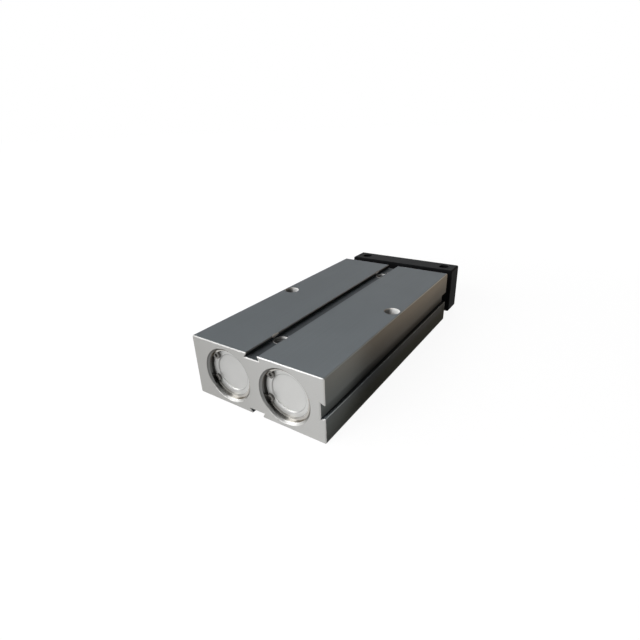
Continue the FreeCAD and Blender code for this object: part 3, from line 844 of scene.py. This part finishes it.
def studio_world(ambient):
    """World that is white to the camera and a dim even light to the object."""
    world = bpy.data.worlds.new("studio")
    bpy.context.scene.world = world
    world.use_nodes = True
    tree = world.node_tree
    tree.nodes.clear()
    lit = tree.nodes.new("ShaderNodeBackground")
    lit.inputs["Color"].default_value = (*ambient, 1)
    seen = tree.nodes.new("ShaderNodeBackground")
    seen.inputs["Color"].default_value = (1, 1, 1, 1)
    mix = tree.nodes.new("ShaderNodeMixShader")
    out = tree.nodes.new("ShaderNodeOutputWorld")
    tree.links.new(background_share(tree), mix.inputs[0])
    tree.links.new(lit.outputs[0], mix.inputs[1])
    tree.links.new(seen.outputs[0], mix.inputs[2])
    tree.links.new(mix.outputs[0], out.inputs["Surface"])


corner_signs = ((-1, -1), (1, -1), (1, 1), (-1, 1))


def flat_piece(name, corners, finish):
    """Four-cornered face of the stage with a finish."""
    mesh = bpy.data.meshes.new(name)
    mesh.from_pydata(corners, [], [(0, 1, 2, 3)])
    mesh.materials.append(finish.material)
    piece = bpy.data.objects.new(name, mesh)
    bpy.context.scene.collection.objects.link(piece)
    return piece


def white_floor(reach, glow, near, far):
    """Large flat floor: a matte part keeps the shadow, and a glow that light rays don't see whitens it.

    The glow grows from its given strength at the near distance to full white at the far one.
    """
    f = Finish("white_floor")
    f.tree.nodes.remove(f.shader)
    strength = length(f.x, f.y).ramp(near, far, glow, 1.0) * Socket(f, background_share(f.tree))
    shine = f.node("ShaderNodeEmission", {}, {"Color": strength})
    matte = f.node("ShaderNodeBsdfDiffuse", {}, {"Color": (0.12, 0.12, 0.12, 1)})
    both = f.node("ShaderNodeAddShader", {}, {0: matte, 1: shine})
    f.feed(f.tree.nodes["Material Output"].inputs["Surface"], both)
    floor = flat_piece("floor", [(i * reach, j * reach, 0) for i, j in corner_signs], f)


studio_world(ambient=(0.052, 0.05, 0.048))
white_floor(reach=20, glow=0.935, near=0.15, far=0.6)
print("ground ready")

# %% [markdown]
# ## Cards that only mirrors see
# Metal shows what stands around it. Two cards that only mirrors see keep the white ground out of the
# right side and the rear face, as black cards do in a product studio. One stands on the right, and
# one before the rear face.

# %% Cards


def dark_card(name, place, width, height):
    """Black card that faces the object and that only mirrors see."""
    away = Vector(place).normalized()
    across = away.cross(Vector((0, 0, 1))).normalized() * width / 2
    upwards = across.normalized().cross(away) * height / 2
    f = Finish(name)
    f.set(Base_Color=(0.01, 0.01, 0.01), Roughness=0.9, Specular_IOR_Level=0.0)
    card = flat_piece(name, [Vector(place) + i * across + j * upwards for i, j in corner_signs], f)
    card.visible_camera = False
    card.visible_diffuse = False
    card.visible_shadow = False


dark_card("right_card", place=(0.75, 0.30, 0.50), width=3.8, height=1.5)
dark_card("front_card", place=(0.25, -1.10, 0.75), width=1.7, height=1.1)
print("cards ready")

# %% [markdown]
# ## Lamps
# Three soft lamps light the object: the key towards the rear end face, a window on the left, and a fill
# from the front. Two spots add what a room adds on the right: a small glow at the near corner, and a
# warm one that points high above the object, so that only the dim edge of its cone falls on the side
# and fades downwards. The key and the spots leave no image of themselves in the metal.

# %% Lamps


def aimed_lamp(name, kind, place, target, power, colour):
    """Lamp of a kind that points from its place to a target."""
    data = bpy.data.lights.new(name, kind)
    data.energy = power
    data.color = colour
    lamp = bpy.data.objects.new(name, data)
    bpy.context.scene.collection.objects.link(lamp)
    lamp.location = place
    lamp.rotation_mode = "QUATERNION"
    lamp.rotation_quaternion = (Vector(target) - Vector(place)).to_track_quat("-Z", "Y")
    return lamp


def soft_lamp(name, place, target, size, power, colour=(1, 1, 1)):
    """Square area lamp with sides of a size in metres."""
    lamp = aimed_lamp(name, "AREA", place, target, power, colour)
    lamp.data.size = size
    return lamp


def spot_lamp(name, place, target, cone, power, colour):
    """Spot lamp whose cone, in degrees, fades from its middle to its edge, and no mirror sees it."""
    lamp = aimed_lamp(name, "SPOT", place, target, power, colour)
    lamp.data.spot_size = math.radians(cone)
    lamp.data.spot_blend = 1.0
    lamp.data.shadow_soft_size = 0.01
    hide_lamp(lamp)


def hide_lamp(lamp):
    """Keeps the picture of a lamp out of the camera and of mirrors; its light stays."""
    lamp.visible_glossy = False
    lamp.visible_camera = False


rear_end = (0, -0.03, 0.015)
hide_lamp(soft_lamp("key_light", (-0.22, -0.85, 0.40), rear_end, size=0.6, power=7.8))
soft_lamp("window_light", (-0.70, -0.54, 0.47), rear_end, size=0.5, power=3.0)
soft_lamp("front_fill", (-0.30, 0.80, 0.55), (0, 0.05, 0.015), size=0.5, power=2.6, colour=(0.97, 0.98, 1))
spot_lamp("corner_glow", (0.25, -0.066, 0.06), (0.0365, -0.072, 0.034),
          cone=23, power=0.62, colour=(1, 0.94, 0.82))
spot_lamp("side_glow", (2.4, 0.058, 0.17), (0, 0.058, 0.504),
          cone=24, power=4150.0, colour=(1, 0.71, 0.47))
print("lamps:", len(bpy.data.lights))

# %% [markdown]
# ## The camera of the photograph
# The straight edges of the block were found in the picture to a fraction of a pixel, and a camera was
# solved that sends the real block's edges to them: a short lens, close by, a little rolled. The
# picture is square, 640 pixels a side, so the focal length in pixels gives the lens for a 36 mm
# sensor.

# %% Camera
picture_side = 640
focal_pixels = 418.2
sensor = 36.0
eye = Vector((111.18, -177.72, 115.79)) * MM
azimuth = math.radians(34.857)
elevation = math.radians(24.711)
roll = math.radians(-2.215)

forward = Vector((-math.sin(azimuth) * math.cos(elevation),
                  math.cos(azimuth) * math.cos(elevation), -math.sin(elevation)))
level_right = forward.cross(Vector((0, 0, 1))).normalized()
level_up = level_right.cross(forward)
right = level_right * math.cos(roll) + level_up * math.sin(roll)
upright = level_up * math.cos(roll) - level_right * math.sin(roll)
camera_data = bpy.data.cameras.new("camera")
camera_data.sensor_width = sensor
camera_data.lens = sensor * focal_pixels / picture_side
camera_data.clip_start = 0.005
camera = bpy.data.objects.new("camera", camera_data)
bpy.context.scene.collection.objects.link(camera)
turn = Matrix((right, upright, -forward)).transposed().to_4x4()
camera.matrix_world = Matrix.Translation(eye) @ turn
bpy.context.scene.camera = camera
bpy.context.scene.view_settings.view_transform = "Standard"
print("lens", round(camera_data.lens, 2))
